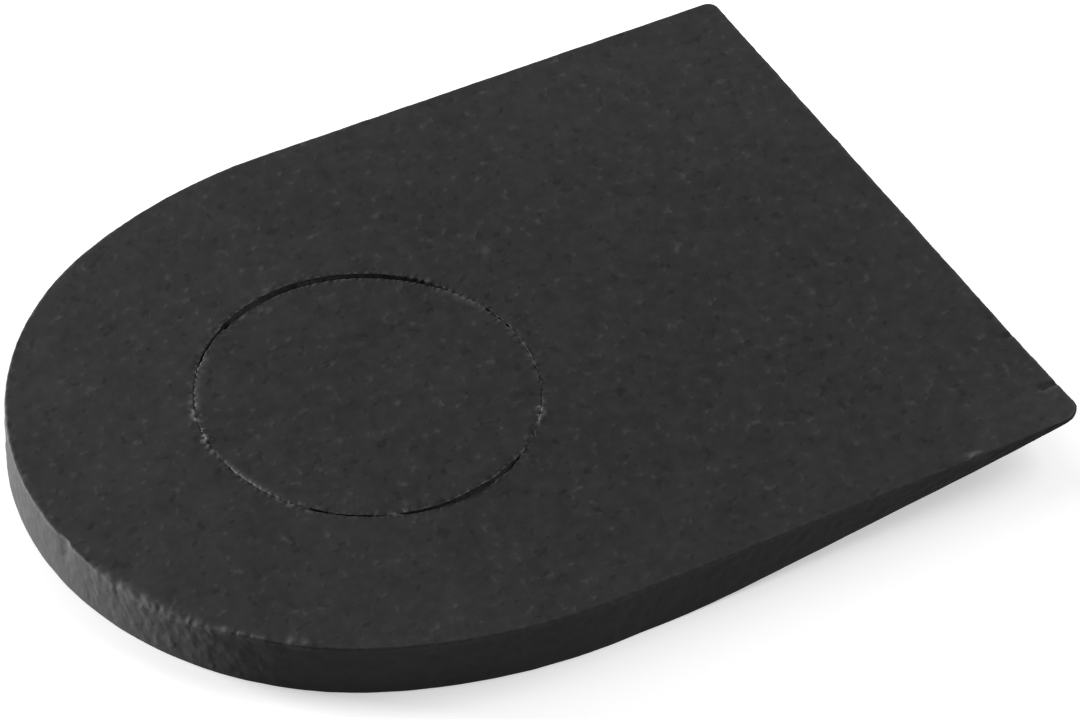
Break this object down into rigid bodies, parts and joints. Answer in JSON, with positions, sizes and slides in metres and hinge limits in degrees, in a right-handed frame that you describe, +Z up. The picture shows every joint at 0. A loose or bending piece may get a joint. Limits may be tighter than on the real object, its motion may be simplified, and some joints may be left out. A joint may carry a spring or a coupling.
{
  "type": "heel wedge",
  "caption": "Black foam heel wedge for a shoe: round at the heel, skived underneath to a thin straight front edge, with a round press-out plug in the heel.",
  "frame": {"origin": "on the surface that the wedge lies on, under the middle of its length and width", "axes": "+Y from the round heel to the thin front edge, +X to the right, +Z up out of the flat face"},
  "size_m": [0.0676, 0.0902, 0.0055],
  "materials": {
    "body_foam": "matt black closed-cell foam with cut faces",
    "plug_foam": "matt black closed-cell foam, the same sheet as the body"
  },
  "bodies": {
    "root": {"wedge_body": "body_foam", "heel_plug": "plug_foam"}
  },
  "joints": []
}
